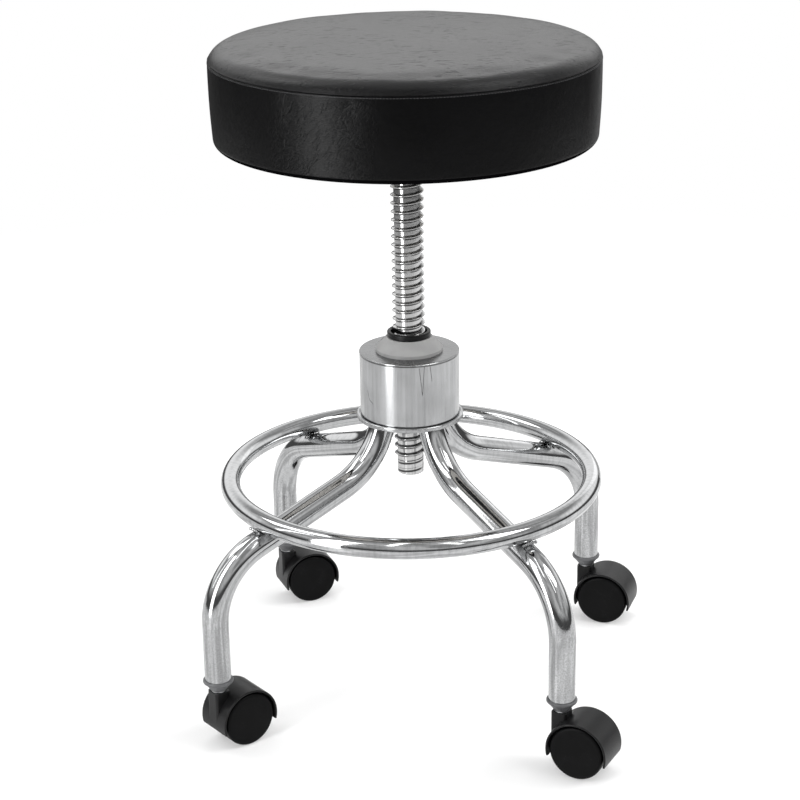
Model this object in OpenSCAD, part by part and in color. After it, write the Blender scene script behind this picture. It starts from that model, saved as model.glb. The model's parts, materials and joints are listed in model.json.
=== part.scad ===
// Dentist stool: a padded round seat that climbs on a coarse lift screw, a drum hub, four bent
// tube legs, a welded foot ring and four twin-wheel casters.
// Millimetres, +Z up, origin on the floor under the spindle.

/* [Seat] */
// Diameter of the cushion at its seam
seat_d = 357.5; // [320:2.5:400]
// Height of the cushion's underside over the floor, as the stool stands
seat_under_z = 551; // [540:0.5:570]
// Height of the side band, from the underside to the seam
band_h = 76; // [60:0.5:100]
// Distance that the side band draws in at its lower edge
band_draw = 1.5; // [0:0.5:5]
// Depth of the hollow that the side band is drawn into between its edges
band_hollow = 0.8; // [0:0.1:2]
// Radius of the cushion's lower edge
lower_edge_r = 6; // [4:0.5:11]
// Radius of the shoulder between the seam and the crown
shoulder_r = 20; // [12:0.5:24]
// Angle that the top panel leans in by at the seam, in degrees
seam_lean = 26; // [5:1:40]
// Rise of the crown over the shoulder
crown_h = 6.2; // [3:0.1:16]
// Thickness of the vinyl
vinyl_t = 1.2; // [0.8:0.1:2]
// Width of the vinyl turned in under the board
turn_in_w = 22; // [12:1:40]
// Thickness of the plywood board
board_t = 12; // [12:0.5:18]
// Gap between the vinyl and what it covers
cover_gap = 0.3; // [0.1:0.1:0.6]

/* [Seat plate] */
// Diameter of the steel plate under the board
plate_d = 160; // [150:5:200]
// Thickness of the steel plate
plate_t = 3; // [2:0.5:5]
// Diameter of the neck that holds the spindle
neck_d = 38; // [34:1:46]
// Length of the neck under the plate
neck_h = 18; // [10:1:24]
// Side of the weld bead between the neck and the spindle
neck_weld = 3; // [1.5:0.5:5]
// Diameter of the circle that the seat bolts stand on
bolt_circle_d = 120; // [90:5:125]
// Diameter of the seat bolts
bolt_d = 6; // [5:0.5:7]
// Width of the bolt heads across their flats
bolt_head_w = 10; // [8:0.5:14]
// Height of the bolt heads
bolt_head_h = 4; // [3:0.5:6]
// Diameter of the tee nuts' barrels
tee_barrel_d = 8.4; // [8:0.2:10]
// Diameter of the tee nuts' flanges
tee_flange_d = 19; // [14:1:24]
// Thickness of the tee nuts' flanges
tee_flange_t = 1.6; // [1:0.2:2.4]
// Clearance all round a bolt, a tee nut or the spindle's top
bolt_clear = 0.1; // [0.05:0.05:0.2]

/* [Lift screw] */
// Diameter of the spindle between the ridges of its thread
spindle_d = 25.2; // [23:0.2:26]
// Wall of the spindle
spindle_wall = 3; // [2:0.5:5]
// Height of the spindle's lower end over the floor
spindle_end_z = 221.8; // [215:0.2:232]
// Chamfer at the spindle's lower end
spindle_chamfer = 0.8; // [0.4:0.1:1.5]
// Pitch of the thread
thread_pitch = 8; // [7:0.5:10]
// Height of the thread's ridge over the spindle
ridge_h = 2.9; // [2:0.1:3.2]
// Width of the ridge where it meets the spindle
ridge_foot_w = 3; // [2.6:0.1:3.6]
// Width of the ridge at its crest
ridge_crest_w = 1.4; // [1:0.1:2]
// Length of the spindle below the thread, without the chamfer
thread_bare = 6.8; // [3.4:0.2:12]
// Turns at the lower end where the ridge is ground away
ground_turns = 1.4; // [1:0.1:4]
// Height of the ridge that the grinding leaves
ground_ridge_h = 0.25; // [0.1:0.05:0.5]
// Turns of thread inside the hub
nut_turns = 7; // [4:1:7]
// Clearance between the crests and the roots of the two threads
thread_clear = 0.45; // [0.3:0.05:0.6]
// Clearance between the flanks of the two threads
flank_clear = 0.5; // [0.3:0.05:0.7]

/* [Hub] */
// Height of the dish's floor over the floor
hub_z = 282; // [276:0.5:288]
// Diameter of the drum
hub_d = 95.3; // [94:0.1:110]
// Height of the drum
hub_h = 64.3; // [62:0.1:80]
// Wall of the drum and its top plate
hub_wall = 1.6; // [1:0.1:2]
// Radius of the drum's upper edge
hub_edge_r = 0.9; // [0.5:0.1:3]
// Diameter of the sleeve that holds the thread
sleeve_d = 37; // [36.4:0.1:37.2]
// Gap between the drum and the dish's lip
dish_gap = 1.4; // [0.5:0.1:2]
// Thickness of the dish
dish_t = 2.2; // [1:0.1:2.5]
// Height of the dish's lip over its floor
dish_lip_h = 2; // [1:0.5:5]
// Clearance round the legs and the spindle in the dish
dish_clear = 0.4; // [0.2:0.1:0.6]
// Diameter of the bush's flange
bush_d = 64; // [56:1:72]
// Height of the bush's flange
bush_flange_h = 3.8; // [3:0.2:8]
// Height of the bush's cone
bush_cone_h = 9.9; // [6:0.1:14]
// Chamfer of the flange's upper edge
bush_chamfer = 0.8; // [0.3:0.1:1.5]
// Diameter of the cone's upper end
bush_top_d = 43; // [41:0.5:48]
// Clearance round the sleeve in the bush and the drum
sleeve_clear = 0.2; // [0.1:0.05:0.3]
// Outer diameter of the rubber wiper ring
wiper_d = 41.5; // [39:0.5:44]
// Inner diameter of the rubber wiper ring
wiper_hole_d = 34; // [33:0.5:36]
// Height of the rubber wiper ring
wiper_h = 5.5; // [4:0.5:8]

/* [Legs] */
// Diameter of the leg tubes
leg_d = 25; // [24:0.1:25.4]
// Wall of the leg tubes
leg_wall = 1.6; // [1.2:0.1:2.5]
// Distance from the spindle's axis to the legs' axes in the hub
leg_in_r = 31.4; // [31.2:0.1:32]
// Height over the dish's floor where the legs begin to bend
leg_bend_up = 13.5; // [8:0.5:20]
// Gap between the legs' upper ends and the drum's top plate
leg_top_gap = 2; // [1:0.5:6]
// Radius of the upper bend, at the tube's axis
upper_bend_r = 74.3; // [65:0.1:85]
// Slope of the straight run between the bends, in degrees under the horizontal
leg_slope = 18.6; // [16:0.1:22]
// Radius of the lower bend, at the tube's axis
lower_bend_r = 70; // [60:1:80]
// Distance from the spindle's axis to the caster stems
leg_reach = 227.7; // [222:0.1:240]
// Radius of the weld beads between the legs and the sleeve
hub_bead_r = 4; // [3:0.5:5]

/* [Foot ring] */
// Diameter of the foot ring, at the tube's axis
ring_d = 350; // [320:2:352]
// Diameter of the ring's tube
ring_tube_d = 19; // [16:0.5:22]
// Wall of the ring's tube
ring_wall = 1.5; // [1:0.1:2.5]
// Gap between the ring and the legs that the welds bridge
ring_gap = 0.15; // [0.1:0.05:0.3]
// Diameter of the weld patches between the ring and the legs
ring_weld_d = 14; // [10:1:16]

/* [Casters] */
// Diameter of the wheels
wheel_d = 52; // [48:1:60]
// Width over the caster's hood
caster_w = 39.5; // [38:0.5:48]
// Distance from the stem's axis back to the axle
trail = 22; // [20:0.5:26]
// Angle of each caster about its stem, in degrees
caster_yaw = [-18.9, -10.5, 30, 46.3]; // [-180:0.1:180]
// Wall of the hood
hood_wall = 2; // [1.8:0.1:3.5]
// Gap between the wheels' treads and the hood
hood_gap = 1.8; // [0.6:0.1:2.5]
// Distance that the hood reaches below the axle
hood_drop = 7.8; // [5:0.2:12]
// Radius of the hood's outer edges
hood_edge_r = 0.8; // [0.4:0.1:0.8]
// Thickness of the web between the wheels
web_t = 12; // [8:0.5:14]
// Width of the square boss round the stem
boss_w = 15.6; // [15:0.2:18]
// Radius of the boss's upright edges
boss_edge_r = 2.5; // [1:0.5:5]
// Gap between a wheel and the boss beside it
wheel_side_gap = 1; // [0.5:0.1:1.5]
// Depth of the wheel faces inside the hood's edge
wheel_inset = 0.5; // [0.2:0.1:1.5]
// Radius of the wheels' outer edges
wheel_edge_r = 2.8; // [0.8:0.1:3]
// Thickness of a wheel's rim and of its face
wheel_wall = 3.2; // [2.4:0.1:4]
// Diameter of the wheels' hubs
wheel_hub_d = 14; // [11:0.5:18]
// Diameter of the axle
axle_d = 6; // [5:0.5:7]
// Clearance all round the axle and the stem where they turn
turn_clear = 0.1; // [0.05:0.05:0.15]
// Diameter of the stem in the socket
stem_d = 11; // [10:0.5:11.5]
// Height of the stem over the leg's end
stem_up = 24; // [20:1:28]
// Diameter of the stem in the boss
journal_d = 9.6; // [8:0.2:10]
// Diameter of the stem's collar
collar_d = 14; // [12:0.5:15]
// Height of the stem's collar
collar_h = 1; // [1:0.2:3]
// Width of the groove for the grip ring
grip_w = 5; // [4:0.5:7]
// Depth of the groove for the grip ring
grip_depth = 0.9; // [0.6:0.1:1.2]
// Opening of the grip ring, in degrees
grip_slit = 40; // [20:5:70]
// Length of the socket inside the leg
socket_in = 30; // [28:1:40]
// Diameter of the socket's flange
socket_d = 28.7; // [27:0.1:32]
// Height of the flange's rim
socket_rim_h = 3.2; // [2.6:0.1:4]
// Radius of the rim's edges
socket_rim_r = 1.3; // [0.6:0.1:1.3]
// Height of the whole flange, from the leg's end to the lower face of its cone
socket_h = 10.7; // [8:0.1:14]
// Diameter of the cone's lower face
socket_nose_d = 15; // [14:0.5:20]
// Clearance round the socket in the leg and round the stem in the socket
socket_clear = 0.1; // [0.05:0.05:0.2]
// Gap between the hood's highest point and the socket
socket_gap = 3; // [1:0.1:4]
// Gap under the stem's collar where the caster swivels
swivel_gap = 0.3; // [0.2:0.1:0.5]

/* [Hidden] */
$fn = 96;
LEGS = [1:4];
SIDES = ["left", "right"];

// How far a cutter runs past the face that it cuts through
cut_over = 1;
// Degrees between the points of a computed arc on the cushion
arc_step = 10;
// Points along the crown, and along the drawn-in stretch of the side band
crown_points = 8;
band_points = 6;

// Seat
seat_r = seat_d / 2;
seam_z = seat_under_z + band_h;
band_r = seat_r - band_draw;
shoulder_x = seat_r - shoulder_r * cos(seam_lean);
shoulder_z = seam_z - shoulder_r * sin(seam_lean);
// The crown's arc touches the shoulder's arc, so its centre, the shoulder's and their meeting are in line
crown_reach = (shoulder_x * shoulder_x + crown_h * crown_h) / (2 * crown_h);
crown_r = crown_reach + shoulder_r;
crown_z = shoulder_z + crown_h - crown_reach;
crown_angle = asin(shoulder_x / crown_reach);
board_z = seat_under_z + vinyl_t;
board_top_z = board_z + board_t;
turn_in_r = band_r - lower_edge_r - turn_in_w;
plate_z = board_z - plate_t;
neck_z = plate_z - neck_h;
bolt_count = 4;

// Lift screw
spindle_r = spindle_d / 2;
spindle_top_z = board_z - bolt_clear;
ridge_r = spindle_r + ridge_h;
thread_steps = 20;
step_cos = cos(180 / thread_steps);
thread_z = spindle_end_z + spindle_chamfer + thread_bare;
thread_top_z = neck_z - neck_weld - ridge_foot_w;
thread_count = floor((thread_top_z - thread_z) / thread_pitch * thread_steps);
ground_count = ground_turns * thread_steps;
// The ridge rises to its full height, and falls at its upper end, over this many steps
ramp_count = 3;
// Clear gap between the flat inner faces of a wound ridge and the round wall that carries it
seat_clear = 0.02;

// Hub
hub_r = hub_d / 2;
hub_top_z = hub_z + hub_h;
sleeve_r = sleeve_d / 2;
sleeve_bore_r = ridge_r + thread_clear;
bush_top_z = hub_top_z + bush_flange_h + bush_cone_h;
dish_in_r = hub_r + dish_gap;
nut_start = ceil((hub_z + ridge_foot_w - thread_z) / thread_pitch);
nut_z = thread_z + (nut_start + 0.5) * thread_pitch;
// Sides of the rounds that the thin welds are cut by
weld_fn = 240;

// Legs
leg_r = leg_d / 2;
leg_bend_z = hub_z + leg_bend_up;
leg_top_z = hub_top_z - hub_wall - leg_top_gap;
upper_turn = 90 - leg_slope;
upper_x = leg_in_r + upper_bend_r;
run_x = upper_x - upper_bend_r * cos(upper_turn);
run_z = leg_bend_z - upper_bend_r * sin(upper_turn);
lower_x = leg_reach - lower_bend_r;
run_end_x = lower_x + lower_bend_r * sin(leg_slope);
leg_run = (run_end_x - run_x) / cos(leg_slope);
run_end_z = run_z - leg_run * sin(leg_slope);
lower_z = run_end_z - lower_bend_r * cos(leg_slope);
// The straight stretches are this much slimmer than the bends, and lap this far into them
run_step = 0.1;
run_lap = 1;

// Foot ring
ring_r = ring_d / 2;
ring_tube_r = ring_tube_d / 2;
ring_over = leg_r + ring_gap + ring_tube_r;
ring_leg_z = run_z - (ring_r - run_x) * tan(leg_slope);
ring_z = ring_leg_z + ring_over / cos(leg_slope);

// Casters
wheel_r = wheel_d / 2;
axle_z = wheel_r;
hood_in_r = wheel_r + hood_gap;
hood_r = hood_in_r + hood_wall;
hood_half_w = caster_w / 2;
hood_angle = asin(hood_drop / hood_r);
wheel_in_y = boss_w / 2 + wheel_side_gap;
wheel_out_y = hood_half_w - wheel_inset;
socket_z = axle_z + hood_r + socket_gap;
leg_foot_z = socket_z + socket_h;
collar_z = socket_z - collar_h - swivel_gap;
boss_top_z = collar_z - swivel_gap;
web_z = axle_z - hood_drop;
// The boss begins where its front face leaves the hood
boss_front = trail + boss_w / 2;
boss_z = axle_z - sqrt(max(0, hood_r * hood_r - boss_front * boss_front));
journal_z = boss_z + hood_wall;
stem_r = stem_d / 2;
stem_top_z = leg_foot_z + stem_up;
stem_chamfer = stem_r - journal_d / 2;
grip_z = stem_top_z - 2 * stem_chamfer - grip_w;
socket_bore_r = stem_r + socket_clear;
axle_end_y = wheel_out_y - wheel_wall;

// Functions

// Points of an arc about a centre, from one angle to another
function arc(centre, r, from, to) =
    let (steps = max(1, ceil(abs(to - from) / arc_step)))
    [for (i = [0:steps]) let (a = from + (to - from) * i / steps) centre + r * [cos(a), sin(a)]];

// The cushion's lower edge, from the underside to the side, set in by a wall
function edge_points(inset) =
    arc([band_r - lower_edge_r, seat_under_z + lower_edge_r], lower_edge_r - inset, -90, 0);

// The drawn-in side, from the lower edge up to the seam
function side_points(inset) = [
    for (i = [1:band_points])
    let (f = i / band_points, low = seat_under_z + lower_edge_r)
    [band_r + band_draw * f - band_hollow * sin(180 * f) - inset, low + (seam_z - low) * f]
];

// The shoulder and the crown, from the seam to the axis, set in by a wall
function top_points(inset) = concat(
    arc(
        [shoulder_x, shoulder_z], shoulder_r - inset,
        asin((seam_z - shoulder_z) / (shoulder_r - inset)), 90 - crown_angle
    ),
    [for (i = [1:crown_points])
        let (a = crown_angle * (1 - i / crown_points))
        [(crown_r - inset) * sin(a), crown_z + (crown_r - inset) * cos(a)]]
);

// A list in the other order
function turned(list) = [for (i = [len(list) - 1:-1:0]) list[i]];

// Half the ridge's width at a height over the spindle
function ridge_half_w(h) = (ridge_foot_w + (ridge_crest_w - ridge_foot_w) * h / ridge_h) / 2;

// Height of the spindle's ridge at a step: ground low at first, full, and run out at its upper end
function ridge_height(i) =
    let (up = (i - ground_count) / ramp_count, down = (thread_count - i) / ramp_count)
    ground_ridge_h + (ridge_h - ground_ridge_h) * max(0, min(1, up, down));

// Section of the spindle's ridge at a step
function spindle_ridge(i) =
    let (
        h = ridge_height(i),
        foot_r = spindle_r / step_cos + seat_clear,
        crest_r = max(spindle_r + h, foot_r + seat_clear)
    )
    [
        [foot_r, -ridge_half_w(0)], [crest_r, -ridge_half_w(h)],
        [crest_r, ridge_half_w(h)], [foot_r, ridge_half_w(0)]
    ];

// Section of the ridge inside the sleeve, which fills the space between the spindle's ridges
function nut_ridge(i) =
    let (
        foot_r = sleeve_bore_r - seat_clear,
        crest_r = (spindle_r + thread_clear) / step_cos,
        foot_w = thread_pitch / 2 - ridge_half_w(foot_r - spindle_r) - flank_clear,
        crest_w = thread_pitch / 2 - ridge_half_w(crest_r - spindle_r) - flank_clear
    )
    [[crest_r, -crest_w], [foot_r, -foot_w], [foot_r, foot_w], [crest_r, crest_w]];

// A section's corner at a step of a right-hand helix
function helix_point(corner, i, start_z) =
    let (a = 360 * i / thread_steps)
    [corner[0] * cos(a), corner[0] * sin(a), start_z + thread_pitch * i / thread_steps + corner[1]];

// The ring of corners at a step
function helix_ring(section, i, start_z) = [for (corner = section) helix_point(corner, i, start_z)];

// Shared shapes

// A solid swept up the thread's helix, one ring of corners a step, with flat ends
module helix(sections, start_z) {
    steps = len(sections) - 1;
    corners = len(sections[0]);
    walls = [
        for (i = [0:steps - 1], k = [0:corners - 1])
        let (a = i * corners + k, b = i * corners + (k + 1) % corners)
        each [[a, a + corners, b], [b, a + corners, b + corners]]
    ];
    last = steps * corners;
    ends = [for (k = [1:corners - 2]) each [[0, k, k + 1], [last, last + k + 1, last + k]]];
    polyhedron(
        points = [for (i = [0:steps]) each helix_ring(sections[i], i, start_z)],
        faces = concat(walls, ends)
    );
}

// A rectangle with round corners, from its lower left corner
module round_box(w, h, r) {
    translate([r, 0])
        square([w - 2 * r, h]);
    translate([0, r])
        square([w, h - 2 * r]);
    for (x = [r, w - r], y = [r, h - r])
        translate([x, y])
            circle(r = r);
}

module at_leg(k)
    rotate([0, 0, 90 * (k - 1) - 45])
        children();

module at_caster(k)
    at_leg(k)
        translate([leg_reach, 0, 0])
            rotate([0, 0, caster_yaw[k - 1] - (90 * (k - 1) - 45)])
                children();

// Turns a section of radius and width about the axle, from a start angle through a sweep
module about_axle(from = 0, sweep = 360)
    translate([trail, 0, axle_z])
        rotate([90, 0, 0])
            rotate([0, 0, from])
                rotate_extrude(angle = sweep)
                    children();

module at_bolts()
    for (i = [0:bolt_count - 1])
        rotate([0, 0, 360 * i / bolt_count])
            translate([bolt_circle_d / 2, 0, 0])
                children();

// A round bar along the first leg's bends, in the plane of X and Z, with its ends run on
module leg_bar(r, run_on = 0) {
    translate([leg_in_r, 0, leg_bend_z - run_lap])
        cylinder(r = r - run_step, h = leg_top_z - leg_bend_z + run_lap + run_on);
    translate([upper_x, 0, leg_bend_z])
        rotate([90, 180, 0])
            rotate_extrude(angle = upper_turn)
                translate([upper_bend_r, 0])
                    circle(r = r);
    translate([run_x, 0, run_z])
        rotate([0, 90 + leg_slope, 0])
            translate([0, 0, -run_lap])
                cylinder(r = r - run_step, h = leg_run + 2 * run_lap);
    translate([lower_x, 0, lower_z])
        rotate([90, 0, 0])
            rotate_extrude(angle = upper_turn)
                translate([lower_bend_r, 0])
                    circle(r = r);
    translate([leg_reach, 0, leg_foot_z - run_on])
        cylinder(r = r - run_step, h = lower_z - leg_foot_z + run_lap + run_on);
}

module ring_bar(r)
    translate([0, 0, ring_z])
        rotate_extrude()
            translate([ring_r, 0])
                circle(r = r);

// Seat

module seat_top_panel()
    color("#5c5e60")
        rotate_extrude()
            polygon(concat(top_points(0), turned(top_points(vinyl_t))));

module seat_side_band()
    color("#1b1c1e")
        rotate_extrude()
            polygon(concat(
                [[turn_in_r, seat_under_z]], edge_points(0), side_points(0),
                turned(side_points(vinyl_t)), turned(edge_points(vinyl_t)), [[turn_in_r, board_z]]
            ));

module seat_foam() {
    inset = vinyl_t + cover_gap;
    color("#d9c98f")
        rotate_extrude()
            intersection() {
                polygon(concat(
                    [[0, seat_under_z]], edge_points(inset), side_points(inset), top_points(inset)
                ));
                translate([0, board_top_z + cover_gap])
                    square([seat_d, seat_d]);
            }
}

module seat_board() {
    inset = vinyl_t + cover_gap;
    color("#c19a63")
        difference() {
            rotate_extrude()
                difference() {
                    polygon(concat(
                        [[0, seat_under_z]], edge_points(inset),
                        [[band_r - inset, board_top_z], [0, board_top_z]]
                    ));
                    square([seat_d, board_z]);
                }
            at_bolts() {
                translate([0, 0, board_z - cut_over])
                    cylinder(r = tee_barrel_d / 2 + bolt_clear, h = board_t + 2 * cut_over);
                translate([0, 0, board_top_z - tee_flange_t])
                    cylinder(r = tee_flange_d / 2 + bolt_clear, h = tee_flange_t + cut_over);
            }
        }
}

module seat_plate()
    color("#3a3c3f")
        translate([0, 0, plate_z])
            difference() {
                cylinder(d = plate_d, h = plate_t);
                translate([0, 0, -cut_over]) {
                    cylinder(r = spindle_r + bolt_clear, h = plate_t + 2 * cut_over);
                    at_bolts()
                        cylinder(r = bolt_d / 2 + bolt_clear, h = plate_t + 2 * cut_over);
                }
            }

// The neck under the plate that the spindle is welded into
module seat_neck()
    color("#3a3c3f")
        translate([0, 0, neck_z])
            difference() {
                cylinder(d = neck_d, h = neck_h);
                translate([0, 0, -cut_over])
                    cylinder(r = spindle_r + bolt_clear, h = neck_h + 2 * cut_over);
            }

module seat_bolts()
    color("#b5b8bb")
        at_bolts() {
            translate([0, 0, plate_z - bolt_head_h])
                cylinder(d = bolt_head_w / cos(30), h = bolt_head_h, $fn = 6);
            translate([0, 0, plate_z])
                cylinder(d = bolt_d, h = plate_t + board_t - tee_flange_t);
        }

module tee_nuts()
    color("#a3a6a8")
        at_bolts()
            difference() {
                union() {
                    translate([0, 0, board_top_z - tee_flange_t])
                        cylinder(d = tee_flange_d, h = tee_flange_t);
                    translate([0, 0, board_z + plate_t])
                        cylinder(d = tee_barrel_d, h = board_t - plate_t);
                }
                translate([0, 0, board_z])
                    cylinder(r = bolt_d / 2 + bolt_clear, h = board_t + cut_over);
            }

// Lift screw

module spindle_tube()
    color("#b9bcbe")
        rotate_extrude()
            polygon([
                [spindle_r - spindle_wall, spindle_end_z], [spindle_r - spindle_chamfer, spindle_end_z],
                [spindle_r, spindle_end_z + spindle_chamfer], [spindle_r, spindle_top_z],
                [spindle_r - spindle_wall, spindle_top_z]
            ]);

module spindle_thread()
    color("#c6c9cb")
        helix([for (i = [0:thread_count]) spindle_ridge(i)], thread_z);

module spindle_weld()
    color("#6d6f71")
        rotate_extrude()
            polygon([
                [spindle_r, neck_z], [spindle_r + neck_weld, neck_z], [spindle_r, neck_z - neck_weld]
            ]);

module wiper_ring()
    color("#17181a")
        rotate_extrude()
            translate([wiper_hole_d / 2, bush_top_z])
                round_box((wiper_d - wiper_hole_d) / 2, wiper_h, (wiper_d - wiper_hole_d) / 6);

module top_bush()
    color("#a2a5a7")
        rotate_extrude()
            polygon([
                [sleeve_r + sleeve_clear, hub_top_z], [bush_d / 2, hub_top_z],
                [bush_d / 2, hub_top_z + bush_flange_h - bush_chamfer],
                [bush_d / 2 - bush_chamfer, hub_top_z + bush_flange_h],
                [bush_top_d / 2, bush_top_z], [sleeve_r + sleeve_clear, bush_top_z]
            ]);

module nut_sleeve()
    color("#c9cccd")
        translate([0, 0, hub_z])
            difference() {
                cylinder(r = sleeve_r, h = bush_top_z - hub_z);
                translate([0, 0, -cut_over])
                    cylinder(r = sleeve_bore_r, h = bush_top_z - hub_z + 2 * cut_over);
            }

module nut_thread()
    color("#b09a5a")
        helix([for (i = [0:nut_turns * thread_steps]) nut_ridge(i)], nut_z);

// Hub

module hub_shell()
    color("#c4c7c8")
        translate([0, 0, hub_z])
            rotate_extrude()
                difference() {
                    union() {
                        square([hub_r, hub_h - hub_edge_r]);
                        square([hub_r - hub_edge_r, hub_h]);
                        translate([hub_r - hub_edge_r, hub_h - hub_edge_r])
                            circle(r = hub_edge_r);
                    }
                    translate([0, -cut_over])
                        square([hub_r - hub_wall, hub_h - hub_wall + cut_over]);
                    square([sleeve_r + sleeve_clear, hub_h + cut_over]);
                }

// The first leg's bar where it passes the dish, straightened, to cut the dish's hole
module dish_hole() {
    sink = leg_bend_up + dish_t / 2;
    turn = asin(sink / upper_bend_r);
    translate([upper_x - upper_bend_r * cos(turn), 0, hub_z - dish_t / 2])
        rotate([0, -turn, 0])
            cylinder(r = leg_r + dish_clear, h = leg_d, center = true);
}

module hub_dish()
    color("#bfc2c3")
        difference() {
            translate([0, 0, hub_z - dish_t])
                rotate_extrude()
                    difference() {
                        round_box(dish_in_r + dish_t, dish_t + dish_lip_h, dish_t / 2);
                        translate([0, dish_t])
                            square([dish_in_r, dish_lip_h + cut_over]);
                        translate([0, -cut_over])
                            square([ridge_r + dish_clear, dish_t + 2 * cut_over]);
                    }
            for (k = LEGS)
                at_leg(k)
                    dish_hole();
        }

module hub_welds()
    color("#5a5550")
        for (k = LEGS)
            at_leg(k)
                difference() {
                    translate([(sleeve_r + leg_in_r - leg_r) / 2, 0, leg_bend_z])
                        cylinder(r = hub_bead_r, h = leg_top_z - leg_bend_z);
                    translate([0, 0, leg_bend_z - cut_over])
                        cylinder(r = sleeve_r, h = hub_h, $fn = weld_fn);
                    translate([leg_in_r, 0, leg_bend_z - cut_over])
                        cylinder(r = leg_r, h = hub_h, $fn = weld_fn);
                }

// Legs and foot ring

module leg(k)
    color("#c2c5c7")
        at_leg(k)
            difference() {
                leg_bar(leg_r);
                leg_bar(leg_r - leg_wall, cut_over);
            }

module foot_ring()
    color("#c2c5c7")
        difference() {
            ring_bar(ring_tube_r);
            ring_bar(ring_tube_r - ring_wall);
        }

// Weld patches that fill the space between the ring and each leg
module ring_welds()
    color("#4b4641")
        difference() {
            for (k = LEGS)
                at_leg(k)
                    translate([ring_r, 0, ring_leg_z])
                        rotate([0, leg_slope, 0])
                            translate([-ring_over * tan(leg_slope), 0, 0])
                                difference() {
                                    translate([0, 0, leg_r - ring_weld_d / 4])
                                        cylinder(d = ring_weld_d, h = ring_weld_d / 2);
                                    rotate([0, 90, 0])
                                        translate([0, 0, -ring_weld_d])
                                            cylinder(r = leg_r, h = 2 * ring_weld_d, $fn = weld_fn);
                                }
            ring_bar(ring_tube_r, $fn = weld_fn);
        }

// Casters

// A socket: a plug in the leg's end, a round rim under the tube and a cone down to the caster
module caster_socket(k) {
    in_r = leg_r - leg_wall - socket_clear;
    rim_z = leg_foot_z - socket_rim_h;
    rim_in_r = in_r - socket_rim_h;
    color("#85888a")
        at_leg(k)
            translate([leg_reach, 0, 0])
                rotate_extrude() {
                    polygon([
                        [socket_bore_r, socket_z], [socket_nose_d / 2, socket_z],
                        [socket_d / 2 - socket_rim_r, rim_z],
                        [socket_d / 2 - socket_rim_r, rim_z + socket_rim_r],
                        [in_r, rim_z + socket_rim_r], [in_r, leg_foot_z + socket_in],
                        [socket_bore_r, leg_foot_z + socket_in]
                    ]);
                    translate([rim_in_r, rim_z])
                        round_box(socket_d / 2 - rim_in_r, socket_rim_h, socket_rim_r);
                }
}

module caster_stem(k)
    color("#cfd2d3")
        at_leg(k)
            translate([leg_reach, 0, 0])
                rotate_extrude()
                    polygon([
                        [0, journal_z], [journal_d / 2, journal_z],
                        [journal_d / 2, collar_z], [collar_d / 2, collar_z],
                        [collar_d / 2, collar_z + collar_h], [stem_r, collar_z + collar_h],
                        [stem_r, grip_z], [stem_r - grip_depth, grip_z],
                        [stem_r - grip_depth, grip_z + grip_w], [stem_r, grip_z + grip_w],
                        [stem_r, stem_top_z - stem_chamfer], [stem_r - stem_chamfer, stem_top_z],
                        [0, stem_top_z]
                    ]);

// The split spring ring that holds the stem in its socket
module grip_ring(k)
    color("#9fa2a3")
        at_leg(k)
            translate([leg_reach, 0, grip_z + seat_clear])
                rotate_extrude(angle = 360 - grip_slit)
                    translate([stem_r - grip_depth + seat_clear, 0])
                        square([grip_depth, grip_w - 2 * seat_clear]);

module caster_hood(k)
    color("#232426")
        at_caster(k)
            difference() {
                union() {
                    about_axle(-hood_angle, 180 + 2 * hood_angle)
                        translate([hood_in_r, -hood_half_w])
                            round_box(hood_wall, caster_w, hood_edge_r);
                    intersection() {
                        translate([trail, 0, axle_z])
                            rotate([90, 0, 0])
                                cylinder(r = hood_in_r + hood_wall / 2, h = web_t, center = true);
                        translate([trail - wheel_d, -web_t, web_z])
                            cube([2 * wheel_d, 2 * web_t, 2 * wheel_d]);
                    }
                    translate([-boss_w / 2, -boss_w / 2, boss_z])
                        linear_extrude(boss_top_z - boss_z)
                            round_box(boss_w, boss_w, boss_edge_r);
                }
                translate([0, 0, journal_z - swivel_gap])
                    cylinder(r = journal_d / 2 + turn_clear, h = boss_top_z);
                translate([trail, 0, axle_z])
                    rotate([90, 0, 0])
                        cylinder(d = axle_d, h = caster_w, center = true);
            }

module caster_axle(k)
    color("#b0b3b5")
        at_caster(k)
            translate([trail, 0, axle_z])
                rotate([90, 0, 0])
                    cylinder(d = axle_d, h = 2 * axle_end_y, center = true);

// A wheel: a closed outer face, a rim and a hub with a blind bore, open towards the web
module wheel(k, side)
    color("#1d1e20")
        at_caster(k)
            mirror([0, side == "left" ? 0 : 1, 0])
                about_axle()
                    mirror([0, 1])
                        difference() {
                            translate([0, wheel_in_y]) {
                                square([wheel_r, wheel_out_y - wheel_in_y - wheel_edge_r]);
                                square([wheel_r - wheel_edge_r, wheel_out_y - wheel_in_y]);
                                translate([wheel_r - wheel_edge_r, wheel_out_y - wheel_in_y - wheel_edge_r])
                                    circle(r = wheel_edge_r);
                            }
                            translate([0, wheel_in_y - cut_over])
                                square([
                                    axle_d / 2 + turn_clear,
                                    axle_end_y + turn_clear - wheel_in_y + cut_over
                                ]);
                            translate([wheel_hub_d / 2, wheel_in_y - cut_over])
                                square([
                                    wheel_r - wheel_wall - wheel_hub_d / 2,
                                    axle_end_y - wheel_in_y + cut_over
                                ]);
                        }

// Least gap between one turn of the spindle's ridge and the next, measured on its corners
ridge_gap = min([
    for (p = helix_ring(spindle_ridge(ground_count + thread_steps), 0, 0))
    for (q = helix_ring(spindle_ridge(ground_count + thread_steps), thread_steps, 0))
    norm(p - q)
]);
echo(ridge_gap = ridge_gap);

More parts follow.
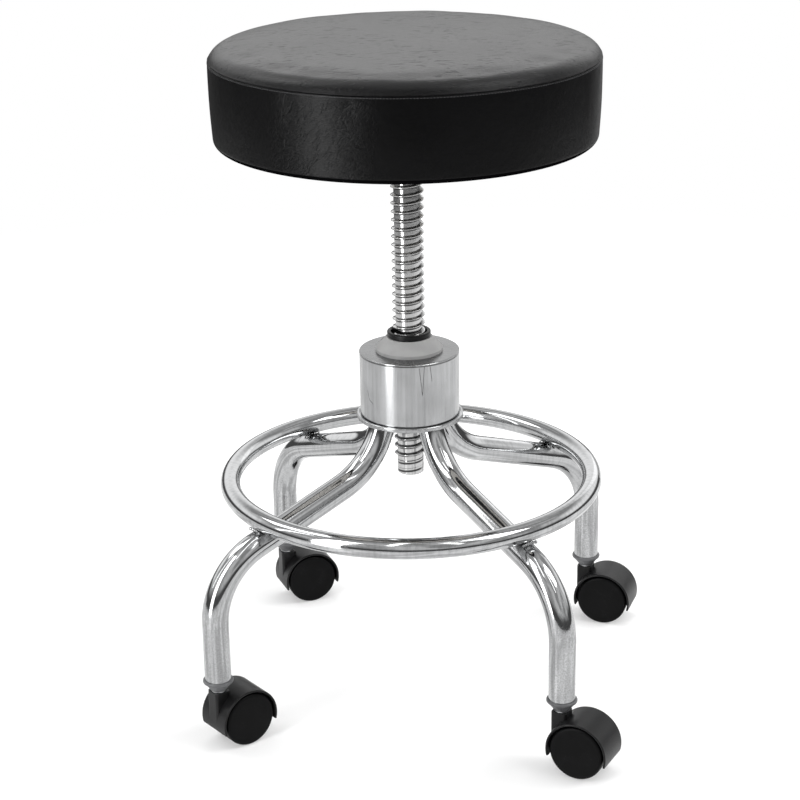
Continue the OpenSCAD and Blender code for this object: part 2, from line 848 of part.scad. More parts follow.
seat_top_panel();
seat_side_band();
seat_foam();
seat_board();
seat_plate();
seat_neck();
seat_bolts();
tee_nuts();
spindle_tube();
spindle_thread();
spindle_weld();
wiper_ring();
top_bush();
nut_sleeve();
nut_thread();
hub_shell();
hub_dish();
hub_welds();
foot_ring();
ring_welds();
for (k = LEGS) {
    leg(k);
    caster_socket(k);
    caster_stem(k);
    grip_ring(k);
    caster_hood(k);
    caster_axle(k);
    for (side = SIDES)
        wheel(k, side);
}
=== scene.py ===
"""A dentist stool: vinyl seat on a coarse lift screw, chromed legs and foot ring, twin-wheel casters."""
import json
import math
from functools import partial, reduce

import bpy
from mathutils import Matrix, Vector, noise
from mathutils.kdtree import KDTree


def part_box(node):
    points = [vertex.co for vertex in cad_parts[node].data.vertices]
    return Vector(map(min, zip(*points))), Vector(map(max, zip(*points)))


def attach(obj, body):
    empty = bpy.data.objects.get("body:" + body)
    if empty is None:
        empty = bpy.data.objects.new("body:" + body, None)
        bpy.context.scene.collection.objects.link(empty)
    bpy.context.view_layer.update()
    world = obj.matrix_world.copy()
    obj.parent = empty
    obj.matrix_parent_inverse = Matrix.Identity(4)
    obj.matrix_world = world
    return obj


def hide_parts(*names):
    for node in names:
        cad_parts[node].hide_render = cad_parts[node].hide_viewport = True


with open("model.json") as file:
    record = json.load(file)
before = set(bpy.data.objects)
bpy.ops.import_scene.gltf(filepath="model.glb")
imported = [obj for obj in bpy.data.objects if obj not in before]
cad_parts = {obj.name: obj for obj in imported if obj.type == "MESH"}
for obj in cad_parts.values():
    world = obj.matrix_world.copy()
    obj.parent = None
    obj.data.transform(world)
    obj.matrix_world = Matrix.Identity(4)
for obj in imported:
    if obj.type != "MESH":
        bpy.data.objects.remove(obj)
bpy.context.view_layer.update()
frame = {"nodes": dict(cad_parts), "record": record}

bl_info = {
    "name": "Dentist Stool",
    "version": (1, 0, 0),
    "blender": (4, 5, 0),
    "location": "View3D > Sidebar > Stool",
    "description": "Dresses the stool's frame: cushion, screw, welds, finishes and studio",
    "category": "Object",
}

NODES = frame["nodes"]
LEGS = (1, 2, 3, 4)
SIDES = ("left", "right")
MM = 0.001
# Points closer than this are one point
WELD = 1e-5
UP = Vector((0, 0, 1))
# One turn, in radians
TURN = 2 * math.pi

# Places that the frame gives
SEAT_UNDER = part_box("seat_side_band")[0].z
SEAM_R, SEAM_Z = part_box("seat_side_band")[1].x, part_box("seat_side_band")[1].z
SEAT_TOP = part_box("seat_top_panel")[1].z
BOARD_R, BOARD_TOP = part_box("seat_board")[1].x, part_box("seat_board")[1].z
SPINDLE_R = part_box("spindle_tube")[1].x
RIDGE_LOW, RIDGE_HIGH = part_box("spindle_thread")[0].z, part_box("spindle_thread")[1].z
RING_LOW, RING_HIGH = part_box("foot_ring")
HUB_R, HUB_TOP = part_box("hub_shell")[1].x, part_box("hub_shell")[1].z
# Where the vinyl is drawn tight: the way round the seam from the front, to the right
CREASE_WAY = -50 * MM
# Heights over the seam between which the vinyl turns from dull to shiny
SHINE_LOW, SHINE_HIGH = 4 * MM, 13 * MM
# Scratches on the drum, as points (way round from the front, height) in millimetres
HUB_SCRATCHES = (
    ((16.2, 345), (19.1, 316), (21.4, 345)),
    ((26.8, 345), (28.9, 329)),
    ((-40.2, 315), (-36.8, 306), (-31.2, 303)),
)
# The first leg's turn about the stool and the step to the next leg, in degrees
FIRST_LEG, LEG_STEP = -45, 90
# A bead of weld: its distance from the crossing, the bow of its ends, its sink and its drops
BEAD_OUT, BEAD_BOW, BEAD_SINK, BEAD_DROPS = 4.4 * MM, 1.2 * MM, 0.6 * MM, 6
# The cloth that swells: its stiffness, its bending stiffness and the frames that it gets
CLOTH_STIFFNESS, CLOTH_BENDING, CLOTH_FRAMES = 30, 6, 20
# How many points of the swollen copy move a point of the cushion, and the gap that evens their pull
NEIGHBOURS, EVEN_GAP = 24, 6 * MM
# Steps round the axis: of the cushion, of its copy that swells, and of one turn of the ridge
CUSHION_STEPS, SWELL_STEPS, RIDGE_STEPS = 216, 96, 44
# The floor that reflections see is lit as far as the first of these, and dark from the second
LIT_R, DARK_R = 1.58, 1.70


def millimetres(label, about, size):
    """A length property whose default is given in millimetres."""
    return bpy.props.FloatProperty(
        name=label, description=about, default=size * MM, unit="LENGTH", precision=5
    )


def degrees(label, about, size):
    """An angle property whose default is given in degrees."""
    return bpy.props.FloatProperty(
        name=label, description=about, default=math.radians(size), subtype="ANGLE"
    )


def number(label, about, value):
    """A property without a unit."""
    return bpy.props.FloatProperty(name=label, description=about, default=value)


def tally(label, about, value):
    """A property that counts things."""
    return bpy.props.IntProperty(name=label, description=about, default=value)


def tint(label, about, *rgb):
    """A colour property."""
    return bpy.props.FloatVectorProperty(
        name=label, description=about, default=rgb, subtype="COLOR", min=0, max=1
    )


class SeatSizes(bpy.types.PropertyGroup):
    """Sizes of the cushion and of what is sewn or stapled to it."""

    shoulder: millimetres("Shoulder", "Radius between the crown and the seam", 16)
    lean: degrees("Lean", "Angle that the top panel leans in by at the seam", 14)
    lower_edge: millimetres("Lower edge", "Radius of the cushion's lower edge", 6)
    draw: millimetres("Draw", "How far the band draws in at its lower edge", 2.2)
    bulge: millimetres("Bulge", "How far the band swells out between its edges", 0.7)
    slack: millimetres("Slack", "How much lower the crown starts before it swells", 0.8)
    swell_cap: millimetres("Swell cap", "The furthest that a point may move as the cushion swells", 1.2)
    voxel: millimetres("Voxel", "Grid of the mesh that swells", 5)
    vinyl: millimetres("Vinyl", "Thickness of the vinyl", 1.2)
    turn_in: millimetres("Turned edge", "Width of the vinyl turned in under the board", 22)
    seam_depth: millimetres("Seam depth", "Depth of the groove along the seam", 1.3)
    seam_roll: millimetres("Seam roll", "Radius that the vinyl rolls into the seam by", 1.1)
    pucker: millimetres("Pucker", "Height of the puckers beside the seam", 0.22)
    pleat: millimetres("Pleat", "Height of the pleats under the board", 0.9)
    stitch: millimetres("Stitch", "Length of a stitch", 2.3)
    stitch_pitch: millimetres("Stitch pitch", "Distance from one stitch to the next", 2.8)
    stitch_r: millimetres("Thread", "Radius of the sewing thread", 0.32)
    stitch_drop: millimetres("Stitch drop", "Distance of the stitches below the seam", 1.5)
    staple: millimetres("Staple", "Width of a staple", 10)
    staple_wire: millimetres("Staple wire", "Thickness of a staple", 0.7)
    pressure: number("Pressure", "Pressure that swells the cushion", 4)
    pleats: tally("Pleats", "Pleats round the board", 36)
    staples: tally("Staples", "Staples round the board", 36)


class MetalSizes(bpy.types.PropertyGroup):
    """Sizes of the lift screw's ridge and of the weld beads."""

    pitch: millimetres("Pitch", "Rise of the ridge in one turn", 8)
    ridge: millimetres("Ridge", "Height of the ridge over the spindle", 2.9)
    ridge_foot: millimetres("Ridge foot", "Width of the ridge at the spindle", 3)
    ridge_crest: millimetres("Ridge crest", "Width of the ridge's round crest", 1.6)
    ground: millimetres("Ground ridge", "Height left where the lower end is ground", 0.25)
    ground_turns: number("Ground turns", "Turns that are ground away", 1.4)
    bead: millimetres("Bead", "Radius of a drop of weld", 1.7)
    bead_reach: millimetres("Bead reach", "Half the length of a bead of weld", 7)


class Colours(bpy.types.PropertyGroup):
    """Base colours of the finishes."""

    vinyl: tint("Vinyl", "Seat cover", 0.0021, 0.0021, 0.0023)
    thread: tint("Thread", "Sewing thread", 0.045, 0.045, 0.047)
    chrome: tint("Chrome", "Legs and foot ring", 0.50, 0.505, 0.51)
    hub: tint("Hub steel", "Drum and dish", 0.46, 0.465, 0.47)
    screw: tint("Screw steel", "Spindle, ridge and sleeve", 0.56, 0.56, 0.56)
    zinc: tint("Zinc", "Bolts, stems and axles", 0.55, 0.56, 0.57)
    bush: tint("Bush", "Grey bush on the hub", 0.33, 0.33, 0.33)
    rubber: tint("Rubber", "Wiper ring", 0.004, 0.004, 0.0042)
    socket: tint("Socket", "Plastic sockets in the legs", 0.115, 0.117, 0.121)
    hood: tint("Hood", "Caster hoods", 0.0062, 0.0062, 0.0065)
    wheel: tint("Wheel", "Caster wheels", 0.0026, 0.0026, 0.0028)
    plate: tint("Plate", "Painted seat plate", 0.012, 0.012, 0.013)
    wood: tint("Plywood", "Pale seat board", 0.55, 0.53, 0.50)
    bronze: tint("Bronze", "Thread in the hub", 0.45, 0.33, 0.14)
    floor: tint("Floor", "Studio floor", 0.86, 0.86, 0.86)


class Studio(bpy.types.PropertyGroup):
    """The camera and the floor."""

    distance: millimetres("Distance", "From the camera to its target", 2037.7)
    target_z: millimetres("Target", "Height that the camera looks at", 284.0)
    azimuth: degrees("Azimuth", "Camera's turn to the right", 8.64)
    elevation: degrees("Elevation", "Camera's height angle", 20.5)
    roll: degrees("Roll", "Camera's roll to the right", 0.85)
    lens: number("Lens", "Focal length in millimetres", 95.44)
    shift_x: number("Shift X", "Sideways shift of the frame", -0.0126)
    shift_y: number("Shift Y", "Upward shift of the frame", 0.0130)
    floor_r: millimetres("Floor", "Radius of the floor", 1800)
    bare_r: millimetres("Shadow", "Radius inside which the floor shows shadows", 600)


# Shader maths


class Field:
    """A shader socket that takes part in Python arithmetic: each operator adds a Math node."""

    def __init__(self, paint, socket):
        self.paint = paint
        self.socket = socket

    def _math(self, operation, *terms):
        return self.paint.node("ShaderNodeMath", {"operation": operation}, *terms)

    def __add__(self, other):
        return self._math("ADD", self, other)

    def __radd__(self, other):
        return self._math("ADD", other, self)

    def __sub__(self, other):
        return self._math("SUBTRACT", self, other)

    def __rsub__(self, other):
        return self._math("SUBTRACT", other, self)

    def __mul__(self, other):
        return self._math("MULTIPLY", self, other)

    def __rmul__(self, other):
        return self._math("MULTIPLY", other, self)

    def __truediv__(self, other):
        return self._math("DIVIDE", self, other)

    def __pow__(self, other):
        return self._math("POWER", self, other)

    def __abs__(self):
        return self._math("ABSOLUTE", self)

    def least(self, other):
        return self._math("MINIMUM", self, other)

    def most(self, other):
        return self._math("MAXIMUM", self, other)

    def arctan2(self, other):
        return self._math("ARCTAN2", self, other)

    def fract(self):
        return self._math("FRACT", self)

    def between(self, low, high):
        """0 under low, 1 over high and a smooth step between them; high may lie under low."""
        down = high < low
        settings = {"interpolation_type": "SMOOTHSTEP"}
        step = self.paint.node("ShaderNodeMapRange", settings, self, min(low, high), max(low, high), 0, 1)
        return 1 - step if down else step


class Paint:
    """The node tree of a material or a world."""

    def __init__(self, owner):
        owner.use_nodes = True
        self.owner = owner
        self.tree = owner.node_tree
        self.tree.nodes.clear()

    def node(self, kind, settings=None, *values, output=0, **named):
        """Adds a node: its settings first, then the values or links of its sockets, by place or by name."""
        node = self.tree.nodes.new(kind)
        for key, value in (settings or {}).items():
            setattr(node, key, value)
        for key, value in [*enumerate(values), *named.items()]:
            socket = self._socket(node.inputs, key)
            if isinstance(value, Field):
                self.tree.links.new(value.socket, socket)
            elif value is not None:
                socket.default_value = value
        if not node.outputs:
            return None
        return Field(self, self._socket(node.outputs, output))

    @staticmethod
    def _socket(sockets, key):
        """A socket by its place, its identifier or its name."""
        if isinstance(key, int):
            return sockets[key]
        for socket in sockets:
            if key in (socket.identifier, socket.name.replace(" ", "_")):
                return socket
        raise KeyError(f"no socket named {key}")

    def place(self, scale=(1, 1, 1), turn=(0, 0, 0)):
        """Object coordinates, stretched and turned."""
        where = self.node("ShaderNodeTexCoord", output="Object")
        if scale == (1, 1, 1) and turn == (0, 0, 0):
            return where
        return self.node("ShaderNodeMapping", {}, where, (0, 0, 0), turn, scale)

    def stretched(self, size, turn, where=None):
        """Coordinates in which a noise of scale 1 has features of that size, turned about Z."""
        where = where or self.place()
        settings = {"vector_type": "TEXTURE"}
        return self.node("ShaderNodeMapping", settings, where, (0, 0, 0), (0, 0, turn), size)

    def unrolled(self, radius):
        """The skin of an upright round laid flat: the way round it, the height, and both as a vector."""
        x, y, z = self.parts(self.place())
        way = x.arctan2(-1 * y) * radius
        return way, z, self.node("ShaderNodeCombineXYZ", {}, way, z, 0.0)

    def parts(self, where):
        """The three numbers of a vector."""
        return [self.node("ShaderNodeSeparateXYZ", {}, where, output=i) for i in range(3)]

    def noise(self, scale, detail, where=None, rough=0.5):
        return self.node(
            "ShaderNodeTexNoise", {}, Vector=where or self.place(), Scale=scale, Detail=detail,
            Roughness=rough, output="Fac",
        )

    def cells(self, scale, feature="DISTANCE_TO_EDGE", where=None):
        return self.node(
            "ShaderNodeTexVoronoi", {"feature": feature}, Vector=where or self.place(), Scale=scale,
            output="Distance",
        )

    def warped(self, scale, reach, where=None):
        """Coordinates that a noise has pushed about."""
        where = where or self.place()
        push = self.node("ShaderNodeTexNoise", {}, Vector=where, Scale=scale, output="Color")
        push = self.vector("SUBTRACT", push, (0.5, 0.5, 0.5))
        return self.vector("ADD", where, self.vector("SCALE", push, Scale=reach))

    def vector(self, operation, *terms, **named):
        return self.node("ShaderNodeVectorMath", {"operation": operation}, *terms, **named)

    def rays(self):
        """Whether a ray comes from the camera, and whether it comes from a reflection."""
        return [self.node("ShaderNodeLightPath", output=f"Is_{kind}_Ray") for kind in ("Camera", "Glossy")]

    def mix(self, share, first, second):
        """A colour between two colours."""
        return self.node(
            "ShaderNodeMix", {"data_type": "RGBA"}, Factor_Float=share, A_Color=_rgba(first),
            B_Color=_rgba(second), output="Result_Color",
        )

    def bump(self, height, depth, under=None):
        """A normal from a height field whose 0 to 1 is a depth in metres."""
        return self.node("ShaderNodeBump", {}, Distance=depth, Height=height, Normal=under, output="Normal")

    def skin(self, colour, roughness, normal, gloss=0.5, metal=0.0):
        """A Principled shader."""
        return self.node(
            "ShaderNodeBsdfPrincipled", {}, Base_Color=_rgba(colour), Roughness=roughness, Normal=normal,
            Specular_IOR_Level=gloss, Metallic=metal,
        )

    def end(self, shader):
        """Ends the tree in a shader; gives the material."""
        self.node("ShaderNodeOutputMaterial", {}, shader)
        return self.owner

    def coat(self, *looks, **shine):
        """Ends the tree in a Principled shader."""
        return self.end(self.skin(*looks, **shine))


def _rgba(colour):
    return colour if isinstance(colour, Field) else (*colour[:3], 1)


def shade(colour, share):
    """A colour made darker or lighter by a share."""
    return tuple(min(1.0, part * share) for part in colour)


# Finishes: each fills a node tree, round its base colour


def vinyl_finish(paint, base, gloss, side_gloss):
    """Black vinyl: leather grain, flecks on its shiny top, and creases where its duller side is tight."""
    way, height, flat = paint.unrolled(SEAM_R)
    on_top = height.between(SEAM_Z - MM, SEAM_Z + MM)
    grain = paint.cells(900, where=paint.warped(500, 0.0009)).between(0.0, 0.22)
    pores = paint.noise(2600, 2)
    hide = paint.noise(150, 4, rough=0.7)
    flecks = paint.noise(1, 1, paint.stretched((9 * MM, 4 * MM, 3 * MM), 0.3)).between(0.59, 0.69)
    flecks = flecks * paint.noise(30, 2).between(0.36, 0.60) * on_top
    fan = paint.warped(0.8, 0.9, paint.stretched((22 * MM, 6 * MM, 9 * MM), 0.95, flat))
    folds = abs(paint.noise(1, 2, fan) - 0.5).between(0.05, 0.0) * paint.noise(60, 2).between(0.36, 0.58)
    tight = abs(way - CREASE_WAY).between(70 * MM, 15 * MM) + 0.15
    tight = tight.least(1.0) * (1 - on_top)
    folds = folds * tight + paint.noise(420, 3) * tight * 0.5
    worn = paint.noise(9, 3)
    normal = paint.bump(grain * 0.4 + pores * 0.25, 0.00009)
    normal = paint.bump(hide * 0.8 - flecks * 0.75 - folds * 0.4, 0.00035, normal)
    colour = paint.mix(worn.between(0.35, 0.7), shade(base, 0.8), shade(base, 1.35))
    roughness = 0.33 + (worn - 0.5) * 0.08 - grain * 0.03 + flecks * 0.10 - tight * 0.06
    dull = paint.skin(colour, roughness, normal, gloss=side_gloss)
    shiny = paint.skin(colour, roughness, normal, gloss=gloss)
    polished = height.between(SEAM_Z + SHINE_LOW, SEAM_Z + SHINE_HIGH)
    return paint.end(paint.node("ShaderNodeMixShader", {}, polished, dull, shiny))


def thread_finish(paint, base):
    """Twisted black sewing thread."""
    twist = paint.noise(2400, 1)
    colour = paint.mix(twist, shade(base, 0.6), shade(base, 1.6))
    return paint.coat(colour, 0.55 + twist * 0.15, paint.bump(twist, 0.00015), gloss=0.3)


def chrome_finish(paint, base):
    """Chromed tube: slight orange peel, mottled low down, wiped in streaks, and dull and dark beside the
    welds: partly heat tint, partly painted shade where the ring meets a leg.
    """
    where = paint.place()
    height = paint.parts(where)[2]
    peel = paint.noise(420, 2)
    low = height.between(0.20, 0.11)
    mottle = paint.noise(750, 3).between(0.35, 0.7) * (low * 0.9 + 0.1)
    pits = paint.cells(520, "F1").between(0.22, 0.06) * paint.noise(90, 2).between(0.48, 0.62) * low
    streaks = paint.noise(1, 3, paint.place((240, 240, 9)))
    gaps = [paint.vector("DISTANCE", where, tuple(crossing(leg)), output="Value") for leg in LEGS]
    # Dark beside each crossing: partly heat tint, partly painted shade in the crevice where the ring meets
    # a leg
    weld_tint_and_shade = reduce(Field.least, gaps).between(0.018, 0.009) * paint.noise(160, 3).between(0.34, 0.66)
    colour = paint.mix(streaks.between(0.4, 0.7) * 0.6, base, shade(base, 0.78))
    colour = paint.mix(mottle * 0.5, colour, shade(base, 0.55))
    colour = paint.mix(weld_tint_and_shade.most(pits) * 0.6, colour, shade(base, 0.24))
    roughness = 0.06 + streaks.between(0.45, 0.8) * 0.07 + mottle * 0.10 + weld_tint_and_shade.most(pits) * 0.25
    normal = paint.bump(peel * 0.5 - mottle * 0.6 - pits, 0.000022)
    return paint.coat(colour, roughness, normal, metal=1.0)


def scratch(way, height, points, width):
    """A mark drawn through points (way round, height) on an unrolled skin, given in millimetres."""
    strokes = []
    for (way_a, height_a), (way_b, height_b) in zip(points, points[1:]):
        run, rise = (way_b - way_a) * MM, (height_b - height_a) * MM
        across, up = way - way_a * MM, height - height_a * MM
        share = ((across * run + up * rise) / (run * run + rise * rise)).most(0).least(1)
        across, up = across - share * run, up - share * rise
        strokes.append(((across * across + up * up) ** 0.5).between(width, 0.3 * width))
    return reduce(Field.most, strokes)


def hub_finish(paint, base):
    """Polished steel of the drum: faint polishing lines, dull clouds, scratches, a painted dark reflection
    line under the rounded top edge, and a duller top plate whose colour is also darkened as painted shade.
    """
    way, height, flat = paint.unrolled(HUB_R)
    lines = paint.noise(1, 3, paint.stretched((2.5 * MM, 90 * MM, 2.5 * MM), 0.0, flat))
    clouds = paint.noise(38, 4)
    specks = paint.cells(420, "F1").between(0.13, 0.05) * clouds.between(0.52, 0.66)
    marks = specks
    for points in HUB_SCRATCHES:
        marks = marks.most(scratch(way, height, points, 0.45 * MM) * paint.noise(300, 2).between(0.3, 0.5))
    # A thin dark line just under the rounded top edge: a painted dark reflection
    seam = abs(height - (HUB_TOP - 1.8 * MM)).between(1.0 * MM, 0.3 * MM) * (0.6 + paint.noise(90, 2))
    # The top plate is rougher, and its colour is halved as painted shade for its darker reflection
    plate = height.between(HUB_TOP - 0.3 * MM, HUB_TOP - 0.1 * MM)
    colour = paint.mix(clouds.between(0.3, 0.75) * 0.7, base, shade(base, 0.82))
    colour = paint.mix(lines.between(0.50, 0.72) * 0.25, colour, shade(base, 0.62))
    colour = paint.mix(plate, colour, shade(base, 0.50))
    colour = paint.mix(marks.most(seam) * 0.8, colour, shade(base, 0.16))
    roughness = 0.17 + (lines - 0.5) * 0.16 + clouds.between(0.45, 0.8) * 0.06 + marks * 0.2 + plate * 0.08
    normal = paint.bump(lines - marks, 0.00002)
    return paint.coat(colour, roughness, normal, metal=1.0)


def screw_finish(paint, base):
    """Turned steel with fine ring marks, and painted shade and painted reflection: dark in the corner under
    each turn of the ridge, half as dark over it.
    """
    pitch = bpy.context.scene.stool_metal.pitch
    foot = bpy.context.scene.stool_metal.ridge_foot
    x, y, z = paint.parts(paint.place())
    climb = (z - RIDGE_LOW - foot / 2) / pitch - y.arctan2(x) / TURN
    phase = (climb + 100).fract()
    rings = paint.noise(1, 2, paint.place((30, 30, 2600)))
    # Painted shade and painted reflection: a dark band under each turn of the ridge and a fainter one over
    # it
    under = phase.between(0.64, 0.73) * phase.between(0.98, 0.90)
    over = phase.between(0.10, 0.16) * phase.between(0.26, 0.18)
    grease_and_shade = under.most(over * 0.5) * paint.noise(120, 2).between(0.2, 0.5)
    colour = paint.mix(grease_and_shade * 0.95, base, shade(base, 0.06))
    roughness = 0.10 + rings * 0.08 + grease_and_shade * 0.2
    return paint.coat(colour, roughness, paint.bump(rings, 0.00002), metal=1.0)


def zinc_finish(paint, base):
    """Zinc plate: soft crystals and a dull shine."""
    crystals = paint.cells(700, "F1")
    dull = paint.noise(160, 3)
    colour = paint.mix(dull, shade(base, 0.8), shade(base, 1.1))
    roughness = 0.22 + crystals * 0.12 + dull * 0.08
    return paint.coat(colour, roughness, paint.bump(crystals, 0.00001), metal=1.0)


def weld_finish(paint, base):
    """Plated weld metal: rippled, with a darker tint that is darker and duller in patches of stain."""
    ripple = paint.noise(420, 3)
    stain = paint.noise(150, 2).between(0.4, 0.7)
    colour = paint.mix(0.2 + stain * 0.45, base, shade(base, 0.15))
    return paint.coat(colour, 0.2 + stain * 0.2, paint.bump(ripple, 0.00002), metal=1.0)


def bush_finish(paint, base):
    """Matte grey die casting with a fine blasted skin."""
    blast = paint.noise(1500, 2)
    rub = paint.noise(55, 3)
    colour = paint.mix(rub.between(0.3, 0.75), shade(base, 0.94), shade(base, 1.1))
    return paint.coat(colour, 0.44 + rub * 0.14, paint.bump(blast, 0.00003), gloss=0.4)


def rubber_finish(paint, base):
    """Black rubber with a moulded shine and a little dust."""
    skin = paint.noise(900, 3)
    dust = paint.noise(130, 3).between(0.55, 0.8)
    colour = paint.mix(dust * 0.4, base, shade(base, 3.5))
    return paint.coat(colour, 0.34 + dust * 0.25, paint.bump(skin, 0.00003), gloss=0.22)


def moulded_finish(paint, base, roughness, gloss, dust):
    """Moulded plastic: a fine spark-eroded skin, rubbed spots and pale scuffs."""
    skin = paint.noise(1900, 3)
    rub = paint.noise(70, 3)
    scuffs = paint.noise(1, 2, paint.warped(90, 0.01, paint.place((210, 55, 130), (0.6, 0.4, 0.9))))
    scuffs = abs(scuffs - 0.5).between(0.016, 0.0) * rub.between(0.52, 0.66)
    colour = paint.mix(rub.between(0.35, 0.75), shade(base, 0.85), shade(base, 1.25))
    colour = paint.mix(scuffs * dust, colour, shade(base, 4.5))
    surface = roughness + (rub - 0.5) * 0.16 + scuffs * 0.1
    return paint.coat(colour, surface, paint.bump(skin - scuffs * 0.5, 0.00005), gloss=gloss)


def paint_finish(paint, base):
    """Black stoved paint with a slight orange peel."""
    peel = paint.noise(330, 3)
    dust = paint.noise(40, 3).between(0.5, 0.8)
    colour = paint.mix(dust * 0.5, base, shade(base, 2.6))
    return paint.coat(colour, 0.30 + dust * 0.2, paint.bump(peel, 0.00006), gloss=0.45)


def plywood_finish(paint, base):
    """Pale plywood: long wavy grain, fine pores and pale bands."""
    bands = paint.noise(1, 4, paint.warped(9, 0.06, paint.place((5, 70, 5))))
    pores = paint.noise(1, 2, paint.place((60, 1500, 60)))
    dark = bands.between(0.35, 0.72)
    colour = paint.mix(dark, shade(base, 1.15), shade(base, 0.72))
    colour = paint.mix(pores.between(0.62, 0.8) * 0.6, colour, shade(base, 0.42))
    return paint.coat(colour, 0.58 + pores * 0.12, paint.bump(pores, 0.00008), gloss=0.3)


def bronze_finish(paint, base):
    """Greasy cast bronze of the hub's thread."""
    # In the bronze this darkening is grease only
    grease_and_shade = paint.noise(140, 3).between(0.4, 0.7)
    colour = paint.mix(grease_and_shade, base, shade(base, 0.4))
    return paint.coat(colour, 0.25 + grease_and_shade * 0.2, paint.bump(paint.noise(600, 2), 0.00003), metal=1.0)


# What makes each finish, and its base colour
FINISHERS = {
    "black_vinyl": (partial(vinyl_finish, gloss=0.85, side_gloss=0.14), "vinyl"),
    "under_vinyl": (partial(vinyl_finish, gloss=0.0, side_gloss=0.0), "vinyl"),
    "sewing_thread": (thread_finish, "thread"),
    "chrome_tube": (chrome_finish, "chrome"),
    "polished_steel": (hub_finish, "hub"),
    "screw_steel": (screw_finish, "screw"),
    "zinc_steel": (zinc_finish, "zinc"),
    "weld": (weld_finish, "chrome"),
    "grey_metal": (bush_finish, "bush"),
    "black_rubber": (rubber_finish, "rubber"),
    "black_steel": (paint_finish, "plate"),
    "plywood": (plywood_finish, "wood"),
    "bronze": (bronze_finish, "bronze"),
    "grey_plastic": (partial(moulded_finish, roughness=0.40, gloss=0.4, dust=0.25), "socket"),
    "black_plastic": (partial(moulded_finish, roughness=0.36, gloss=0.24, dust=0.5), "hood"),
    "black_wheel": (partial(moulded_finish, roughness=0.46, gloss=0.10, dust=0.9), "wheel"),
}
FINISHES = {}


def finish(name):
    """The finish of that name, made once."""
    if name not in FINISHES:
        maker, tone = FINISHERS[name]
        base = getattr(bpy.context.scene.stool_colours, tone)
        FINISHES[name] = maker(Paint(bpy.data.materials.new(name)), base)
    return FINISHES[name]


def dress(piece, name):
    """Gives a piece one finish."""
    piece.data.materials.clear()
    piece.data.materials.append(finish(name))


def dress_nodes(*names):
    """Gives frame nodes the finish of their own material slot."""
    slots = {part["node"]: part["material_slot"] for part in frame["record"]["subparts"]}
    for name in names:
        dress(NODES[name], slots[name])


# Modelling helpers


def arc(centre, radius, start, end, count):
    """Points of an arc in the plane of radius and height; angles are in degrees."""
    turns = [math.radians(start + (end - start) * i / count) for i in range(count + 1)]
    return [(centre[0] + radius * math.cos(a), centre[1] + radius * math.sin(a)) for a in turns]


def smooth_step(low, high, value):
    share = min(1.0, max(0.0, (value - low) / (high - low)))
    return share * share * (3 - 2 * share)


def deselect():
    bpy.ops.object.select_all(action="DESELECT")


def select(piece):
    """Makes a piece the active one, and the only one selected."""
    deselect()
    piece.select_set(True)
    bpy.context.view_layer.objects.active = piece


def mend(tool, **settings):
    """Uses a mesh tool on the whole of the active piece, and turns its faces outward."""
    bpy.ops.object.mode_set(mode="EDIT")
    bpy.ops.mesh.select_all(action="SELECT")
    tool(**settings)
    bpy.ops.mesh.normals_make_consistent(inside=False)
    bpy.ops.object.mode_set(mode="OBJECT")


def draw_line(name, points):
    """A mesh line through points (radius, height), drawn by extruding one vertex; left in edit mode."""
    deselect()
    bpy.ops.mesh.primitive_plane_add(size=WELD, enter_editmode=True)
    bpy.ops.mesh.merge(type="CENTER")
    bpy.ops.transform.translate(value=(points[0][0], 0, points[0][1]))
    for here, there in zip(points, points[1:]):
        step = (there[0] - here[0], 0, there[1] - here[1])
        bpy.ops.mesh.extrude_vertices_move(TRANSFORM_OT_translate={"value": step})
    line = bpy.context.object
    line.name = line.data.name = name
    return line


def lathe(name, points, steps):
    """A closed form wound from a line about the Z axis, in one turn without a rise."""
    piece = draw_line(name, points)
    bpy.ops.object.mode_set(mode="OBJECT")
    apply_modifier(piece, "SCREW", axis="Z", angle=TURN, screw_offset=0, steps=steps, render_steps=steps)
    mend(bpy.ops.mesh.remove_doubles, threshold=WELD)
    return piece


def apply_modifier(piece, kind, **settings):
    """Adds a modifier to a piece, sets it and applies it."""
    select(piece)
    bpy.ops.object.modifier_add(type=kind)
    modifier = piece.modifiers[-1]
    for key, value in settings.items():
        setattr(modifier, key, value)
    bpy.ops.object.modifier_apply(modifier=modifier.name)


def copy_at(pattern, matrix):
    """A copy of a piece, with a mesh of its own that is moved by a matrix."""
    piece = pattern.copy()
    piece.data = pattern.data.copy()
    piece.data.transform(matrix)
    bpy.context.scene.collection.objects.link(piece)
    return piece


def join(name, pieces):
    """Joins pieces into one of that name."""
    whole = pieces[0]
    select(whole)
    for piece in pieces:
        piece.select_set(True)
    bpy.ops.object.join()
    whole.name = whole.data.name = name
    return whole


def shade_smooth(piece, angle):
    select(piece)
    bpy.ops.object.shade_smooth_by_angle(angle=math.radians(angle))


def ride(piece, body):
    """Puts a finished piece on a body."""
    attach(piece, body)


def around(turn):
    """The level direction at that turn about the stool."""
    return Vector((math.cos(turn), math.sin(turn), 0))


def leg_direction(leg):
    return around(math.radians(LEG_STEP * (leg - 1) + FIRST_LEG))


def crossing(leg):
    """The point where the foot ring touches a leg."""
    radius = RING_HIGH.x - (RING_HIGH.z - RING_LOW.z) / 2
    return leg_direction(leg) * radius + UP * RING_LOW.z


# Pieces


def top_outline(sizes, crown_drop):
    """The cushion's outside from the crown to the seam."""
    shoulder_x = SEAM_R - sizes.shoulder * math.cos(sizes.lean)
    shoulder_z = SEAM_Z - sizes.shoulder * math.sin(sizes.lean)
    rise = SEAT_TOP - shoulder_z - sizes.shoulder - crown_drop
    reach = (shoulder_x ** 2 + rise ** 2) / (2 * rise)
    crown_centre = (0, shoulder_z + rise - reach)
    crown_end = math.degrees(math.asin(shoulder_x / reach))
    lean = math.degrees(sizes.lean)
    crown = arc(crown_centre, reach + sizes.shoulder, 90, 90 - crown_end, 34)
    return crown + arc((shoulder_x, shoulder_z), sizes.shoulder, 90 - crown_end, lean, 9)[1:]


